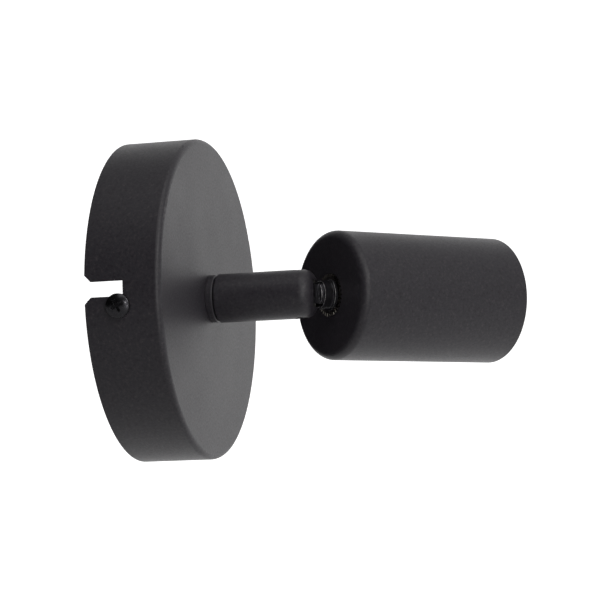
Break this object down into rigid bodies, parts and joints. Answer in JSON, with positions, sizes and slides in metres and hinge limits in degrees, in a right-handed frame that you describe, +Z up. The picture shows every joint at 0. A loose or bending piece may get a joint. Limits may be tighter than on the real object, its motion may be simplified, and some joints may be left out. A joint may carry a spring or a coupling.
{
  "type": "wall spotlight",
  "caption": "Wall spotlight: a round canopy on a wall bracket, a short swivelling arm and a cylindrical lamp head that tilts on a knuckle and holds a screw-base lamp.",
  "frame": {"origin": "the middle of the wall bracket's back face, on the arm's axis, midway between the two wall-screw slots", "axes": "+Z up; the wall is the plane Y = 0 and the light stands out along -Y; +X to the right seen from the room"},
  "size_m": [0.1188, 0.1167, 0.1004],
  "materials": {
    "coat": "satin black powder coat, very fine grain",
    "gloss_black": "gloss black lacquer on the knuckle and screws",
    "zinc": "zinc plated steel",
    "brass": "plain brass",
    "nickel": "nickel plated steel",
    "dark_steel": "blackened spring steel",
    "block_plastic": "natural white nylon",
    "holder_plastic": "black heat-proof moulding",
    "ceramic": "white steatite",
    "fibre": "black nylon washer",
    "brown_wire": "brown insulation",
    "blue_wire": "blue insulation",
    "green_wire": "green and yellow insulation",
    "arm_wire_skin": "insulated wires"
  },
  "bodies": {
    "base": {"wall_bracket": "zinc", "canopy": "coat", "canopy_screws": "gloss_black", "base_ring": "coat", "inner_washer": "zinc", "stop_pin": "zinc", "terminal_block": "block_plastic", "terminal_sleeves": "brass", "terminal_screws": "nickel", "block_fixing_screw": "zinc", "earth_tag": "nickel", "earth_washer": "nickel", "earth_screw": "brass", "live_wire": "brown_wire", "neutral_wire": "blue_wire", "earth_wire": "green_wire"},
    "arm": {"arm_tube": "coat", "swivel_washer": "fibre", "swivel_nipple": "zinc", "stop_washer": "zinc", "spring_washer": "zinc", "jam_nuts": "zinc", "pivot_pin": "gloss_black", "pivot_washers": "fibre", "arm_wires": "arm_wire_skin"},
    "head": {"swivel_tongue": "gloss_black", "toothed_washer": "dark_steel", "head_cup": "coat", "head_nut": "zinc", "holder_cap": "holder_plastic", "grub_screw": "zinc", "holder_skirt": "holder_plastic", "holder_core": "ceramic", "screw_shell": "nickel", "shell_rivets": "brass", "contact_plunger": "brass", "contact_spring": "nickel", "spring_seat": "brass", "shell_link": "brass", "contact_screws": "brass", "head_live_wire": "brown_wire", "head_neutral_wire": "blue_wire"}
  },
  "joints": [
    {"name": "arm_swivel", "type": "hinge", "parent": "base", "child": "arm", "pos_m": [0, 0, 0], "axis": [0, 1, 0], "range_deg": [-174, 161]},
    {"name": "head_tilt", "type": "hinge", "parent": "arm", "child": "head", "pos_m": [0, -0.0525, 0], "axis": [0.1132, 0, 0.9936], "range_deg": [-46.9, 43.1]}
  ]
}
